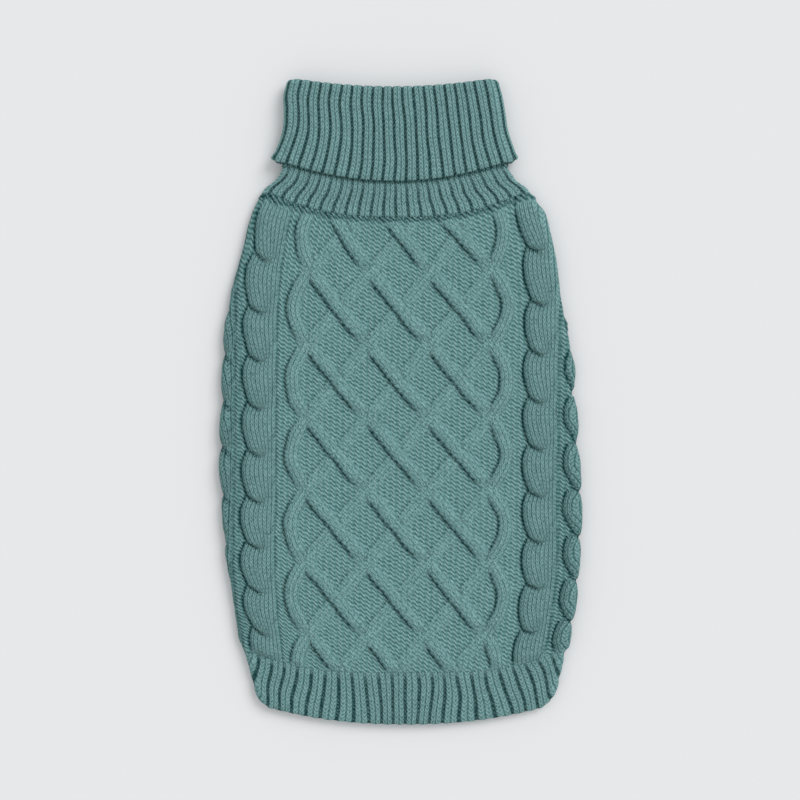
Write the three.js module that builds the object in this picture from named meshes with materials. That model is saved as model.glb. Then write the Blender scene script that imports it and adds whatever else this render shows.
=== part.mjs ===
// A cable-knit dog sweater laid flat on its belly, back up, with its roll collar folded down.
// Millimetres. +Y runs from the hem to the neck, +X is to the right seen from above, +Z is up.
// The sweater rests on z = 0. Four knitted pieces make it: the cabled back, which wraps round both
// sides to a seam underneath, the plain belly between the seams, the ribbed collar and the ribbed hem.
import * as THREE from "three";

// Cloth. The ground is the knit's plain thickness, and cables and ribs stand above it.
const GROUND = 3.0;
const SEAM_GAP = 0.3;
const RIB_GROOVE = -0.7;
const RIB_CROWN = 1.0;
const STRAND_HEIGHT = 2.8;
const STRAND_SWING = 0.7; // how far strands rise and dip as they pass over and under
const ROPE_HEIGHT = 3.6;
const ROPE_DIP = 2.6; // depth of the notch where one lobe of a rope dips under the next
const SIDE_RELIEF = 2.2; // how far the relief stands out of the outline at the sides

// Moves the outline's box so that its middle is the origin.
const TO_MIDDLE = { x: 0.65, y: 0.6 };

// Lengthwise stations of the body's knit rows, at the middle of the back.
const HEM_EDGE = -235.8;
const HEM_TOP = -197.8;
const NECK_SEAM = 134.8;

// The outline. y is where a row meets the side edge, half the outline's half width there, centre its
// middle, pattern the x of the middle of the back's cables, and stretch how wide they are pulled.
const OUTLINE = [
  { y: -223.5, half: 104.5, centre: 2.6, pattern: -1.6, stretch: 0.92 },
  { y: -208.8, half: 109.9, centre: 2.8, pattern: -1.6, stretch: 0.92 },
  { y: -191.3, half: 114.2, centre: 3.0, pattern: -1.8, stretch: 0.92 },
  { y: -173.7, half: 120.5, centre: 2.4, pattern: -1.8, stretch: 0.94 },
  { y: -144.5, half: 125.9, centre: 2.5, pattern: -1.6, stretch: 0.98 },
  { y: -115.3, half: 129.6, centre: 1.5, pattern: -1.3, stretch: 1.00 },
  { y: -71.5, half: 131.8, centre: 0.8, pattern: -0.9, stretch: 1.00 },
  { y: -42.3, half: 131.6, centre: -0.6, pattern: -0.6, stretch: 1.00 },
  { y: 1.5, half: 129.8, centre: -1.1, pattern: -0.2, stretch: 1.00 },
  { y: 45.3, half: 126.7, centre: -1.8, pattern: 0.4, stretch: 1.00 },
  { y: 74.5, half: 121.6, centre: -2.8, pattern: 1.0, stretch: 1.00 },
  { y: 103.7, half: 116.6, centre: -1.4, pattern: 1.6, stretch: 0.98 },
  { y: 135.1, half: 109.1, centre: -2.0, pattern: 2.2, stretch: 0.93 },
  { y: 143.8, half: 105.5, centre: -2.6, pattern: 2.4, stretch: 0.91 },
  { y: 152.6, half: 99.6, centre: -2.9, pattern: 2.4, stretch: 0.90 },
];

// A knit row bows up from its middle to its ends, by rise and after a power of bow. air is the gap
// between back and belly.
const ROWS = [
  { row: HEM_EDGE, rise: 11.8, bow: 2.2, air: 1.0 },
  { row: HEM_TOP, rise: 14.5, bow: 3.6, air: 1.6 },
  { row: -150.0, rise: 8.0, bow: 3.4, air: 3.2 },
  { row: -100.0, rise: 4.0, bow: 3.0, air: 3.4 },
  { row: 0.0, rise: 2.0, bow: 3.0, air: 3.4 },
  { row: 80.0, rise: 5.0, bow: 3.0, air: 3.0 },
  { row: NECK_SEAM, rise: 17.0, bow: 2.6, air: 1.2 },
];
const INSET = 3; // how far a wall's coarse inside stays from its edges
const LEVELLING = 0.08; // share of a row's half over which it levels out beside the turn

// The back's pattern, measured along the cloth from the middle of the back.
const BACK_HALF = 154; // to the seam underneath
const LATTICE = { across: 22.4, down: 26.6, origin: 94.9, edge: 3, bulge: 0.5 };
const STRAND_HALF = 5.2;
const ROPES = [
  { middle: -132.6, notch: 87.0 },
  { middle: -102.6, notch: 104.4 },
  { middle: 102.6, notch: 110.0 },
  { middle: 132.6, notch: 95.0 },
];
const ROPE_HALF = 12.4;
const ROPE_PERIOD = 34.5;
const ROPE_SLANT = 0.5; // share of a period that a crossing falls from left to right

// Leg openings, scooped out of the belly's edges beside the seams.
const LEG = { row: 82, length: 76, depth: 42 };

// The collar: a rib tube that stands up from the neck seam, folds at the top and comes down outside.
const COLLAR_RIBS = 42;
const FOLD_STEP = GROUND + 0.4; // from the standing wall to the folded one, middle to middle
const COLLAR_AIR = 1.0;
const STAND_BOTTOM = GROUND * 1.5 + 0.4; // the standing wall lies on the folded wall's under half
const STAND = [
  { y: NECK_SEAM + SEAM_GAP, rise: 17.0, bow: 2.6, half: 98.9, centre: -2.86, lift: 0.0, rib: 1.0 },
  { y: 141.0, rise: 16.0, bow: 2.4, half: 95.3, centre: -3.0, lift: 0.12, rib: 1.0 },
  { y: 147.0, rise: 14.5, bow: 2.2, half: 88.0, centre: -4.0, lift: 0.45, rib: 1.0 },
  { y: 153.0, rise: 13.0, bow: 2.0, half: 83.6, centre: -4.4, lift: 0.8, rib: 0.7 },
  { y: 160.0, rise: 11.5, bow: 2.0, half: 81.6, centre: -4.4, lift: 1.0, rib: 0.1 },
  { y: 190.0, rise: 8.5, bow: 2.0, half: 78.0, centre: -4.6, lift: 1.0, rib: 0.0 },
  { y: 226.3, rise: 5.1, bow: 2.0, half: 73.6, centre: -5.3, lift: 1.0, rib: 0.0 },
];
const FOLDED = [
  { y: 226.3, rise: 5.1, bow: 2.0, half: 77.0, centre: -5.3 },
  { y: 217.0, rise: 6.2, bow: 2.0, half: 79.2, centre: -5.2 },
  { y: 203.0, rise: 8.0, bow: 2.0, half: 81.2, centre: -4.9 },
  { y: 189.0, rise: 10.0, bow: 2.0, half: 82.8, centre: -4.5 },
  { y: 175.0, rise: 12.0, bow: 2.0, half: 86.2, centre: -4.1 },
  { y: 161.2, rise: 13.5, bow: 2.0, half: 90.2, centre: -4.1 },
];
const FOLD_STEPS = 4; // facets of the turn at the collar's top

const HEM_RIBS = 48;

const { clamp, smoothstep } = THREE.MathUtils;

// Returns a function that reads one column of a table, smoothly between its rows.
function column(table, by, key) {
  const at = table.map((line) => line[by]);
  const value = table.map((line) => line[key]);
  const last = at.length - 1;
  const slope = value.map((_, i) => {
    const before = Math.max(i - 1, 0);
    const after = Math.min(i + 1, last);
    return (value[after] - value[before]) / (at[after] - at[before]);
  });
  return (x) => {
    const place = clamp(x, at[0], at[last]);
    let i = 0;
    while (i < last - 1 && place > at[i + 1]) i += 1;
    const span = at[i + 1] - at[i];
    const f = (place - at[i]) / span;
    const g = 1 - f;
    const ends = value[i] * g * g * (1 + 2 * f) + value[i + 1] * f * f * (1 + 2 * g);
    return ends + span * f * g * (slope[i] * g - slope[i + 1] * f);
  };
}

const halfAt = column(OUTLINE, "y", "half");
const centreAt = column(OUTLINE, "y", "centre");
const patternAt = column(OUTLINE, "y", "pattern");
const stretchAt = column(OUTLINE, "y", "stretch");
const riseAt = column(ROWS, "row", "rise");
const bowAt = column(ROWS, "row", "bow");
const airAt = column(ROWS, "row", "air");

// A flattened tube's section through the middle of its wall: two flat runs joined by half circles.
// along is the distance round it from the middle of the top, to the right where positive.
function sectionPoint(section, along) {
  const run = section.half - section.radius;
  const side = along < 0 ? -1 : 1;
  const reach = Math.abs(along);
  const turn = clamp((reach - run) / section.radius, 0, Math.PI);
  const top = Math.min(reach, run);
  const under = Math.max(reach - run - Math.PI * section.radius, 0);
  const flat = side * (top - under);
  return {
    point: new THREE.Vector3(
      section.centre + flat + side * section.radius * Math.sin(turn),
      bowedRow(section, flat),
      section.height + section.radius * Math.cos(turn),
    ),
    normal: new THREE.Vector3(side * Math.sin(turn), 0, Math.cos(turn)),
  };
}

// A knit row's y at a place on the flat, x from the section's middle. It levels out beside the
// turns and is level round them.
function bowedRow(section, x) {
  const reach = Math.abs(x) / (section.half - section.radius);
  const near = Math.max(0, 1 - (1 - reach) / LEVELLING);
  const eased = (reach - (LEVELLING / 2) * near * near) / (1 - LEVELLING / 2);
  return section.y + section.rise * eased ** section.bow;
}

function roundLength(section) {
  return 4 * (section.half - section.radius) + 2 * Math.PI * section.radius;
}

// The body's section at a knit row, given by its height at the middle of the back.
function bodySection(row) {
  const rise = riseAt(row);
  const side = row + rise;
  const radius = (GROUND + airAt(row)) / 2;
  return {
    y: row,
    rise,
    bow: bowAt(row),
    radius,
    half: halfAt(side) - GROUND / 2 - SIDE_RELIEF,
    centre: centreAt(side),
    height: GROUND / 2 + radius,
  };
}

// Where a place on the back, measured from the pattern's middle, lies round the section.
function backAlong(section, u) {
  const side = section.y + section.rise;
  return u * stretchAt(side) + patternAt(side) - section.centre;
}

// The inside's columns stand where the section turns: share 0 is the middle of the top, 2/7 the
// start of the turn, 6/7 its end and 1 the seam.
function insideAlong(section, share, seam) {
  const run = section.half - section.radius;
  const turned = run + Math.PI * section.radius;
  if (share <= 2 / 7) return (run * share * 7) / 2;
  if (share <= 6 / 7) return run + (((turned - run) * (share - 2 / 7)) * 7) / 4;
  return turned + (seam - turned) * (share * 7 - 6);
}

// Relief is full on top and at the sides and fades out before the cloth turns under.
function reliefShare(normal) {
  return smoothstep(normal.z, -0.75, 0.05);
}

// A strand's round back: 1 at its middle, 0 from its edge outwards.
function strandProfile(distance, half) {
  return Math.sqrt(Math.max(0, 1 - (distance / (half * 1.25)) ** 2));
}

function wrapped(value, period) {
  return value - period * Math.round(value / period);
}

// Lattice places in half repeats: strands cross where gx and gy differ by an odd number.
function latticePlace(u, row) {
  return { gx: u / LATTICE.across, gy: (row - LATTICE.origin) / LATTICE.down };
}

const STRAND_SINE = LATTICE.down / Math.hypot(LATTICE.across, LATTICE.down);

// The trellis: falling and rising strands weave over and under, and turn back in arcs at its edges.
function latticeRelief(u, row) {
  const { gx, gy } = latticePlace(u, row);
  const swing = STRAND_SWING * Math.cos(Math.PI * gy);
  const reach = Math.abs(gx);
  let height = 0;
  if (reach <= LATTICE.edge) {
    const falling = Math.abs(wrapped(gx + gy - 1, 2)) * LATTICE.across * STRAND_SINE;
    const rising = Math.abs(wrapped(gx - gy - 1, 2)) * LATTICE.across * STRAND_SINE;
    height = Math.max(
      (STRAND_HEIGHT - swing) * strandProfile(falling, STRAND_HALF),
      (STRAND_HEIGHT + swing) * strandProfile(rising, STRAND_HALF),
    );
  }
  const turn = Math.sin((Math.PI / 2) * (gy - 2 * Math.floor(gy / 2)));
  const arc = Math.abs(reach - LATTICE.edge - LATTICE.bulge * turn) * LATTICE.across;
  const arcHeight = reach > LATTICE.edge - 0.4 ? strandProfile(arc * 0.9, STRAND_HALF) : 0;
  return Math.max(height, STRAND_HEIGHT * arcHeight);
}

// A rope cable: each lobe dips under the one above it, in a notch that opens at the left edge and
// falls to the right until it fades out.
function ropeRelief(u, row) {
  let height = 0;
  for (const rope of ROPES) {
    const across = (u - rope.middle) / ROPE_HALF;
    if (Math.abs(across) < 1) {
      const down = (rope.notch - row) / ROPE_PERIOD - (ROPE_SLANT * (across + 1)) / 2;
      const notch = Math.exp(-((wrapped(down, 1) / 0.16) ** 2));
      const open = 1 - smoothstep(across, -0.3, 0.75);
      height = (ROPE_HEIGHT - ROPE_DIP * notch * open) * (1 - across ** 4) ** 0.5;
    }
  }
  return height;
}

function backRelief(u, row) {
  return Math.max(latticeRelief(u, row), ropeRelief(u, row));
}

// Rib relief at a place counted in ribs: a groove at whole numbers, a flat crown between them.
function ribRelief(place) {
  const fromGroove = Math.abs(wrapped(place, 1));
  return RIB_GROOVE + (RIB_CROWN - RIB_GROOVE) * smoothstep(fromGroove, 0, 1 / 3);
}

// Joins two rows of points by a strip of triangles, although they may differ in number.
function joinRows(positions, one, other, flip) {
  const faces = [];
  const point = (index) => new THREE.Vector3().fromArray(positions, index * 3);
  const gap = (a, b) => (b === undefined ? Infinity : point(a).distanceTo(point(b)));
  let i = 0;
  let j = 0;
  while (i < one.length - 1 || j < other.length - 1) {
    if (gap(other[j], one[i + 1]) <= gap(one[i], other[j + 1])) {
      faces.push(flip ? [one[i], one[i + 1], other[j]] : [one[i + 1], one[i], other[j]]);
      i += 1;
    } else {
      faces.push(flip ? [other[j + 1], other[j], one[i]] : [other[j], other[j + 1], one[i]]);
      j += 1;
    }
  }
  return faces;
}

// A closed wall between an outer grid of points and a coarser inner one. A rim of inner points
// under the outer grid's border keeps the edges square. A ring has no side edges.
function wallGeometry(outer, inner, ring = false) {
  const positions = [];
  const faces = [];
  const number = (grid, at) => {
    const start = positions.length / 3;
    const columns = grid.across.length - (ring ? 1 : 0);
    for (const d of grid.down) {
      for (let i = 0; i < columns; i += 1) positions.push(...at(grid.across[i], d).toArray());
    }
    return (i, j) => start + j * columns + (i % columns);
  };
  const cover = (grid, index, flip) => {
    for (let j = 0; j < grid.down.length - 1; j += 1) {
      for (let i = 0; i < grid.across.length - 1; i += 1) {
        const [a, b, c, d] = [index(i, j), index(i + 1, j), index(i + 1, j + 1), index(i, j + 1)];
        const u = (grid.across[i] + grid.across[i + 1]) / 2;
        const row = (grid.down[j] + grid.down[j + 1]) / 2;
        const pair = grid.falls?.(u, row) ? [[a, b, d], [b, c, d]] : [[a, b, c], [a, c, d]];
        for (const [p, q, r] of pair) faces.push(flip ? [p, r, q] : [p, q, r]);
      }
    }
  };
  const border = (grid, index) => {
    const columns = grid.across.map((_, i) => i);
    const rows = grid.down.map((_, j) => j);
    const [right, top] = [columns.length - 1, rows.length - 1];
    const ends = [columns.map((i) => index(i, 0)), columns.map((i) => index(i, top)).reverse()];
    if (ring) return ends;
    const sides = [rows.map((j) => index(right, j)), rows.map((j) => index(0, j)).reverse()];
    return [...ends, ...sides];
  };
  const outerIndex = number(outer, outer.at);
  const rimIndex = number(outer, outer.under);
  const innerIndex = number(inner, inner.at);
  cover(outer, outerIndex, false);
  cover(inner, innerIndex, true);
  const rims = border(outer, rimIndex);
  const inners = border(inner, innerIndex);
  border(outer, outerIndex).forEach((edge, k) => {
    faces.push(...joinRows(positions, edge, rims[k], false));
    faces.push(...joinRows(positions, rims[k], inners[k], false));
  });
  return compacted(positions, faces);
}

// A geometry with only the points that its faces use.
function compacted(positions, faces) {
  const used = new Map();
  const kept = [];
  const index = faces.flat().map((old) => {
    if (!used.has(old)) {
      used.set(old, used.size);
      kept.push(...positions.slice(old * 3, old * 3 + 3));
    }
    return used.get(old);
  });
  const geometry = new THREE.BufferGeometry();
  geometry.setAttribute("position", new THREE.Float32BufferAttribute(kept, 3));
  geometry.setIndex(index);
  geometry.computeVertexNormals();
  return geometry;
}

// Evenly spaced values from first to last, both included.
function steps(first, last, count) {
  return Array.from({ length: count + 1 }, (_, i) => first + ((last - first) * i) / count);
}

function mirrored(values) {
  return [...values.map((value) => -value).reverse(), ...values];
}

const yarn = new THREE.MeshStandardMaterial({ color: 0x67918f, roughness: 0.95, metalness: 0 });

function piece(name, geometry) {
  const mesh = new THREE.Mesh(geometry, yarn);
  mesh.name = name;
  return mesh;
}

// The rows of the body's points, four to a half repeat of the lattice.
function bodyRows() {
  const first = HEM_TOP + SEAM_GAP;
  const step = LATTICE.down / 4;
  const between = Array.from({ length: 80 }, (_, i) => LATTICE.origin + (i - 60) * step).filter(
    (row) => row > first + step / 3 && row < NECK_SEAM - step / 3,
  );
  return [first, ...between, NECK_SEAM];
}

// The cabled back. Its columns fall on the edges of the lattice's strands, and its rows between.
function backPanel() {
  const cell = LATTICE.across / 4;
  const latticeColumns = Array.from({ length: 15 }, (_, i) => (i + 0.5) * cell);
  const ropeColumns = ROPES.filter((rope) => rope.middle > 0).flatMap((rope) =>
    [-1, -0.8, -0.55, -0.27, 0, 0.27, 0.55, 0.8, 1].map((share) => rope.middle + share * ROPE_HALF),
  );
  const across = mirrored([...latticeColumns, 85.5, ...ropeColumns, 149.5, BACK_HALF]);
  const face = (u, row, offset) => {
    const section = bodySection(row);
    const { point, normal } = sectionPoint(section, backAlong(section, u));
    return point.addScaledVector(normal, offset(normal));
  };
  const outer = {
    across,
    down: bodyRows(),
    at: (u, row) =>
      face(u, row, (normal) => GROUND / 2 + backRelief(u, row) * reliefShare(normal)),
    under: (u, row) => face(u, row, () => -GROUND / 2),
    falls: (u, row) => {
      const { gx, gy } = latticePlace(u, row);
      const falling = Math.abs(wrapped(gx + gy - 1, 2));
      return Math.abs(gx) > LATTICE.edge || falling < Math.abs(wrapped(gx - gy - 1, 2));
    },
  };
  const inner = {
    across: [-0.97, ...steps(-1, 1, 14).slice(1, -1), 0.97],
    down: steps(HEM_TOP + INSET, NECK_SEAM - INSET, 12),
    at: (share, row) => {
      const section = bodySection(row);
      const seam = backAlong(section, Math.sign(share) * BACK_HALF);
      const along = Math.sign(share) * insideAlong(section, Math.abs(share), Math.abs(seam));
      const { point, normal } = sectionPoint(section, along);
      return point.addScaledVector(normal, -GROUND / 2);
    },
  };
  return piece("back_panel", wallGeometry(outer, inner));
}

// The belly: the under layer between the two seams, with the leg openings scooped out of its edges.
function bellyPanel() {
  const edgeAt = (row, side) => {
    const section = bodySection(row);
    const seam = sectionPoint(section, backAlong(section, side * BACK_HALF)).point.x;
    const fromLeg = clamp((2 * (row - LEG.row)) / LEG.length, -1, 1);
    const scoop = LEG.depth * Math.cos((Math.PI / 2) * fromLeg);
    return seam - side * (SEAM_GAP + scoop);
  };
  const face = (share, row, height) => {
    const section = bodySection(row);
    const x = THREE.MathUtils.lerp(edgeAt(row, 1), edgeAt(row, -1), share);
    return new THREE.Vector3(x, bowedRow(section, x - section.centre), height);
  };
  const outer = {
    across: steps(0, 1, 8),
    down: bodyRows(),
    at: (share, row) => face(share, row, 0),
    under: (share, row) => face(share, row, GROUND),
  };
  const inner = {
    across: steps(0.04, 0.96, 3),
    down: [HEM_TOP + INSET, -100, 0, 60, 78, 95, 112, 128, NECK_SEAM - INSET],
    at: outer.under,
  };
  return piece("belly_panel", wallGeometry(outer, inner));
}

// Places round a ribbed tube, in ribs from the middle of the top: three to a rib on top and round
// the sides, wide steps underneath.
function ribPlaces(ribs, plainFrom) {
  const top = Array.from({ length: Math.round(plainFrom * 3) }, (_, i) => (i + 0.5) / 3);
  const under = steps(plainFrom + 0.4, ribs / 2, 10);
  return mirrored([...top, ...under]);
}

// The hem: a rib tube knitted on below the back and the belly.
function hemBand() {
  const face = (u, row, offset) => {
    const section = bodySection(row);
    const along = (u / HEM_RIBS) * roundLength(section);
    const { point, normal } = sectionPoint(section, along);
    return point.addScaledVector(normal, offset(normal));
  };
  const outer = {
    across: ribPlaces(HEM_RIBS, 13),
    down: steps(HEM_EDGE, HEM_TOP, 4),
    at: (u, row) =>
      face(u, row, (normal) => GROUND / 2 + ribRelief(u) * reliefShare(normal)),
    under: (u, row) => face(u, row, () => -GROUND / 2),
  };
  const sides = [10.8, 11.2, 11.5, 11.8, 12.1, 12.4, 12.7, 13.1];
  const inner = {
    across: mirrored([3, 6, 9, ...sides, 16, 20, HEM_RIBS / 2]),
    down: steps(HEM_EDGE + INSET, HEM_TOP - INSET, 2),
    at: outer.under,
  };
  return piece("hem_band", wallGeometry(outer, inner, true));
}

// The collar's wall runs up the standing tube, turns over at the top and comes down outside it.
// Each station gives the section through the wall's middle and how far the wall has turned.
function collarStations() {
  const standRadius = (GROUND + COLLAR_AIR) / 2;
  const low = bodySection(NECK_SEAM);
  const stand = STAND.map((line) => {
    const radius = THREE.MathUtils.lerp(low.radius, standRadius, line.lift);
    return {
      ...line,
      radius,
      half: line.half - GROUND / 2 - (line.lift < 1 ? RIB_CROWN : 0),
      height: THREE.MathUtils.lerp(low.height, STAND_BOTTOM + standRadius, line.lift),
      turn: 0,
    };
  });
  const top = stand[stand.length - 1];
  const fold = steps(0, Math.PI, FOLD_STEPS)
    .slice(1, -1)
    .map((turn) => {
      const out = (FOLD_STEP / 2) * (1 - Math.cos(turn));
      const y = top.y + (FOLD_STEP / 2) * Math.sin(turn);
      return { ...top, y, half: top.half + out, radius: top.radius + out, turn };
    });
  const folded = FOLDED.map((line) => ({
    ...top,
    ...line,
    half: line.half - GROUND / 2 + (top.half + FOLD_STEP - (FOLDED[0].half - GROUND / 2)),
    radius: top.radius + FOLD_STEP,
    turn: Math.PI,
    rib: 1,
  }));
  return [...stand, ...fold, ...folded];
}

function collar() {
  const stations = collarStations();
  const across = ribPlaces(COLLAR_RIBS, 11.5);
  const down = stations.map((_, i) => i);
  const at = (u, i, side) => {
    const station = stations[i];
    const { point, normal } = sectionPoint(station, (u / COLLAR_RIBS) * roundLength(station));
    const up = normal.z;
    const way = normal.multiplyScalar(Math.cos(station.turn));
    way.y -= Math.sin(station.turn);
    const shows = side > 0 ? station.turn === 0 : station.turn > 0;
    const ribs = shows ? ribRelief(u) * station.rib * reliefShare({ z: up }) : 0;
    return point.addScaledVector(way, side * (GROUND / 2 + ribs));
  };
  const outer = { across, down, at: (u, i) => at(u, i, 1), under: (u, i) => at(u, i, -1) };
  const inner = { across, down: down.slice(1, -1), at: outer.under };
  return piece("collar", wallGeometry(outer, inner, true));
}

const sweater = new THREE.Group();
sweater.add(backPanel(), bellyPanel(), collar(), hemBand());
sweater.position.set(TO_MIDDLE.x, TO_MIDDLE.y, 0);

export default sweater;
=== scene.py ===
"""A cable-knit dog sweater laid flat on its belly, back up, with its roll collar folded down.

Sizes are in millimetres until a mesh is made. +Y runs from the hem to the neck, +Z is up.
The knit's surfaces are worked out on grids of two parameters: the place along the cloth, from the
middle of the back round to the seam underneath, and the knit row.
"""

import math

import bpy
import numpy as np
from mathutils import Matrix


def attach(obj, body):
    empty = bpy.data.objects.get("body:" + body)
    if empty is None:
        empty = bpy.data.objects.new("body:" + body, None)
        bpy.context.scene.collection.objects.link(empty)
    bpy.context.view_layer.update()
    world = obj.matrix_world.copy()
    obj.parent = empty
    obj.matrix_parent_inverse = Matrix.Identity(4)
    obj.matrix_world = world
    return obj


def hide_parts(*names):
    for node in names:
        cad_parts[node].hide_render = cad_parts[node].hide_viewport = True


MM_PER_M = 1000
TO_MIDDLE = (0.65, 0.6)  # moves the middle of the sweater to the origin

# The cloth.
GROUND = 3.0  # its thickness
WALE = 4.4  # width of a stitch
COURSE = 3.0  # height of a stitch
SEAM_GAP = 0.3  # between two pieces that meet at a seam
PLAIN = 0.3  # the relief of plain knit, where ribs and cables end

# Knit rows are named by their y at the middle of the back.
HEM_EDGE = -235.8
HEM_TOP = -197.8
NECK_SEAM = 134.8
LEVELLING = 0.08  # the share of its half width in which a row levels out before the turn

# The back's columns, by their distance from its middle along the cloth.
BACK_HALF = 154.0
FINE_UNTIL = 118
FINE_STEP = 0.88
COARSE_STEP = 1.35
BACK_ROWS = 300

# The trellis: half a repeat across and down, a row of crossings, and its strands.
ACROSS = 22.4
DOWN = 26.6
LATTICE_ROW = 94.9
LATTICE_EDGE = 3  # half repeats from the middle to where the strands turn back
BULGE = 0.5  # half repeats that the turning strands reach past that
STRAND_HALF = 5.4
STRAND_HEIGHT = 3.3
STRAND_WALES = 3.4
STRAND_GROOVE = 0.8  # depth of the groove along a strand's left edge
# The groove's darkness is painted shade:
STRAND_SHADE = 0.82  # and how dark it is
CROSSING_DIP = 2.0  # how far a falling strand dips under a rising one
RISING_HEIGHT = 0.9
WANDER = 0.5  # how far the strands stray from straight
RIPPLE = 0.42  # how far their edges ripple
RIPPLE_DOWN = 3.3  # and the ripple's period down and across
RIPPLE_ACROSS = 31

# The ropes: middle, the row of a notch, height and how far the lobes slant across the rope.
ROPES = (
    (-132.6, 106.0, 3.3, 1.0),
    (-102.6, 100.6, 4.2, 0.15),
    (102.6, 105.1, 4.2, 0.15),
    (132.6, 105.5, 3.3, 0.5),
)
ROPE_HALF = 12.6
ROPE_PERIOD = 34.5
ROPE_WALES = 8
ROPE_WANDER = 0.4
LOBE_ROUNDING = 9.0  # from a lobe's left edge to where it has its full height
# The dark line along a lobe's left edge is painted shade.
LOBE_LINE = 1.2  # half width of the dark line along that edge
TUCK = 0.6  # share of its height that a lobe's tucked end loses

# The chain of loops at the neck seam.
CHAIN_BELOW = 1.1
CHAIN_HALF = 2.1
CHAIN_HEIGHT = 1.8

# The leg openings: the row of their middle, their length along the seam and their depth.
LEG_ROW = 82.0
LEG_LENGTH = 76.0
LEG_DEPTH = 42.0

# The ribs, in shares of a rib where not in millimetres.
RIB_WALES = 2  # knit stitches in a rib
RIB_WIDTH = 8  # millimetres
RIB_GROOVE = -0.9  # the relief at the bottom of the groove, in millimetres
RIB_CROWN = 1.0  # and on the crown
RIB_MARGIN = 0.07  # on each side of the stitches
RIB_SHADE = 0.135  # half width of the groove's shade
RIB_DIP = 0.12  # depth of the dip between the two stitches
PLACES_PER_RIB = (12, 4)  # columns of a ribbed tube's grid on top and underneath

HEM_RIBS = 48
HEM_FAN = (-1.6, 2.1)  # ribs by which the hem's left and right ribs shift from top to edge
HEM_CORNER = 3.5  # how far the hem's corners turn up
HEM_ROUNDING = (2.4, 1.5)  # height and depth of its rounded edge

COLLAR_RIBS = 42
COLLAR_CORNER = 2.6
COLLAR_ROUNDING = (2.6, 1.4)
FOLD_STEP = GROUND + 0.4
STAND_RADIUS = (GROUND + 1.0) / 2
STAND_BOTTOM = GROUND * 1.5 + 0.4

FLOOR_HALF = 3  # in metres, as is its top
FLOOR_TOP = -0.0002

# The camera.
LENS = 100
SENSOR = 36
PICTURE_MIDDLE = 1.46  # the picture's middle lies this far towards the neck
PICTURE_WIDTH = 0.584  # in metres, as is the level of the knit that has this width
KNIT_LEVEL = 0.009


def by_column(names, *rows):
    """A table as a dict of its columns, each an array."""
    return dict(zip(names.split(), np.array(rows).T))


# The outline: y where a row meets the side edge, half width, middle, middle of the cables, pull-in.
OUTLINE = by_column(
    "y half centre pattern stretch",
    (-223.5, 105.9, 3.8, -1.6, 0.92),
    (-208.8, 111.1, 4.1, -1.6, 0.92),
    (-191.3, 115.2, 4.0, -1.8, 0.92),
    (-173.7, 120.5, 2.4, -1.8, 0.94),
    (-144.5, 125.9, 2.5, -1.6, 0.98),
    (-115.3, 129.6, 1.5, -1.3, 1.0),
    (-71.5, 131.8, 0.8, -0.9, 1.0),
    (-42.3, 131.6, -0.6, -0.6, 1.0),
    (1.5, 129.8, -1.1, -0.2, 1.0),
    (45.3, 126.7, -1.8, 0.4, 1.0),
    (74.5, 121.6, -2.8, 1.0, 1.0),
    (103.7, 116.6, -1.4, 1.6, 0.98),
    (135.1, 109.1, -2.0, 2.2, 0.93),
    (143.8, 105.5, -2.6, 2.4, 0.91),
    (152.6, 99.6, -2.9, 2.4, 0.9),
)

# Knit rows: how far a row's ends lie above its middle, the power of its curve, the air inside, and
# the relief past the side.
ROWS = by_column(
    "row rise bow air side",
    (HEM_EDGE, 11.8, 2.2, 1.0, 0.6),
    (HEM_TOP, 14.5, 3.6, 1.6, 0.9),
    (-150.0, 8.0, 3.4, 3.2, 2.0),
    (-100.0, 4.0, 3.0, 3.4, 2.2),
    (0.0, 2.0, 3.0, 3.4, 2.2),
    (80.0, 5.0, 3.0, 3.0, 0.7),
    (NECK_SEAM, 17.0, 2.6, 1.2, 2.2),
)

# The collar's stand: lift goes from the neck's section at 0 to the flat stand's at 1, and rib is
# how strong its ribs are.
STAND = by_column(
    "y rise bow half centre lift rib",
    (NECK_SEAM + SEAM_GAP, 17.0, 2.6, 98.9, -2.86, 0.0, 1.0),
    (141.0, 16.0, 2.4, 95.3, -3.0, 0.12, 1.0),
    (147.0, 14.5, 2.2, 88.9, -3.2, 0.45, 1.0),
    (153.0, 13.0, 2.0, 85.4, -3.0, 0.8, 0.8),
    (160.0, 11.5, 2.0, 82.6, -3.6, 1.0, 0.3),
    (190.0, 8.5, 2.0, 78.0, -4.6, 1.0, 0.0),
    (226.3, 5.1, 2.0, 73.6, -5.3, 1.0, 0.0),
)

# The part that is folded down outside, from its lower edge up to the fold.
FOLDED = by_column(
    "y rise bow half centre",
    (161.2, 13.5, 2.0, 90.2, -4.1),
    (175.0, 12.0, 2.0, 85.2, -3.4),
    (189.0, 10.0, 2.0, 81.5, -3.5),
    (203.0, 8.0, 2.0, 80.1, -4.0),
    (217.0, 6.2, 2.0, 79.2, -5.2),
    (226.3, 5.1, 2.0, 77.0, -5.3),
)
FOLD_Y = STAND["y"][-1]
COLLAR_EDGE = FOLDED["y"][0]


def read(table, key, x):
    """One column of a table where its first column is x.

    Cubic curves run from row to row, and at a row the slope is that between its neighbours.
    """
    at = next(iter(table.values()))
    value = table[key]
    slope = np.gradient(value) / np.gradient(at)
    x = np.clip(np.asarray(x, float), at.min(), at.max())
    i = np.clip(np.searchsorted(at, x, "right") - 1, 0, len(at) - 2)
    span = at[i + 1] - at[i]
    f = (x - at[i]) / span
    g = 1 - f
    ends = value[i] * g * g * (1 + 2 * f) + value[i + 1] * f * f * (1 + 2 * g)
    return ends + span * f * g * (slope[i] * g - slope[i + 1] * f)


def smooth(x, low, high):
    """0 below low, 1 above high, and a smooth step between them."""
    t = np.clip((x - low) / (high - low), 0, 1)
    return t * t * (3 - 2 * t)


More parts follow.
